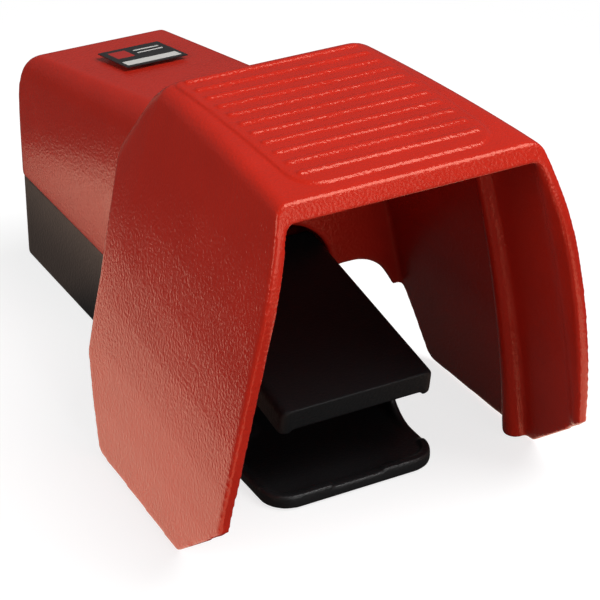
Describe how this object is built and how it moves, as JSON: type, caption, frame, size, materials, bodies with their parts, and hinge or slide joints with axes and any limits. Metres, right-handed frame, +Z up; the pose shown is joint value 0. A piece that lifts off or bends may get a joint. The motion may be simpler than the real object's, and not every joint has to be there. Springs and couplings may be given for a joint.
{
  "type": "industrial foot switch",
  "caption": "Guarded industrial foot switch: black base tray with a front tongue, hinged black pedal, red cast hood over the foot and a box cover over the switch.",
  "frame": {"origin": "on the floor, under the middle of the overall length and width", "axes": "+X across the switch, +Y away from the operator towards the cable entry (the foot enters from -Y), +Z up"},
  "size_m": [0.1726, 0.309, 0.1662],
  "materials": {
    "base_black": "black powder coat, fine orange peel",
    "guard_red": "red powder coat, orange peel, semi gloss",
    "pedal_black": "black powder coat, matt",
    "rubber_black": "matt moulded rubber",
    "seal_grey": "foamed seal",
    "zinc": "bright zinc plate",
    "spring_steel": "drawn wire, oiled",
    "bronze": "sintered bronze, dull",
    "contact_brass": "stamped and plated",
    "block_black": "moulded thermoset",
    "plunger_red": "moulded nylon",
    "plate_print": "printed film plate, satin",
    "earth_green": "green passivated"
  },
  "bodies": {
    "body": {"base": "base_black", "foot_pads": "rubber_black", "guard_cover": "guard_red", "cover_gasket": "seal_grey", "cover_screws": "zinc", "label_plate": "plate_print", "hinge_pin": "zinc", "pin_clips": "spring_steel", "stop_buffer": "rubber_black", "switch_housing": "block_black", "switch_lid": "block_black", "fixed_contacts": "contact_brass", "terminal_clamps": "zinc", "terminal_screws": "zinc", "switch_screws": "zinc", "earth_clamp": "contact_brass", "earth_screw": "earth_green"},
    "pedal_unit": {"pedal": "pedal_black", "pivot_bushes": "bronze", "actuating_screw": "zinc", "lock_nut": "zinc", "return_spring": "spring_steel"},
    "plunger_unit": {"plunger": "plunger_red", "contact_bridges": "contact_brass", "plunger_spring": "spring_steel"}
  },
  "joints": [
    {"name": "pedal_hinge", "type": "hinge", "parent": "body", "child": "pedal_unit", "pos_m": [0, 0.06, 0.036], "axis": [1, 0, 0], "range_deg": [0, 6], "stiffness_Nm_per_rad": 14, "springref_deg": -3.44, "deforming": ["return_spring"]},
    {"name": "plunger_slide", "type": "slide", "parent": "body", "child": "plunger_unit", "axis": [0, 0, -1], "range_m": [0, 0.0046], "stiffness_N_per_m": 400, "springref_m": -0.002, "deforming": ["plunger_spring"]}
  ],
  "couplings": [
    {"joint": "plunger_slide", "follows": "pedal_hinge", "m_per_rad": 0.042}
  ]
}
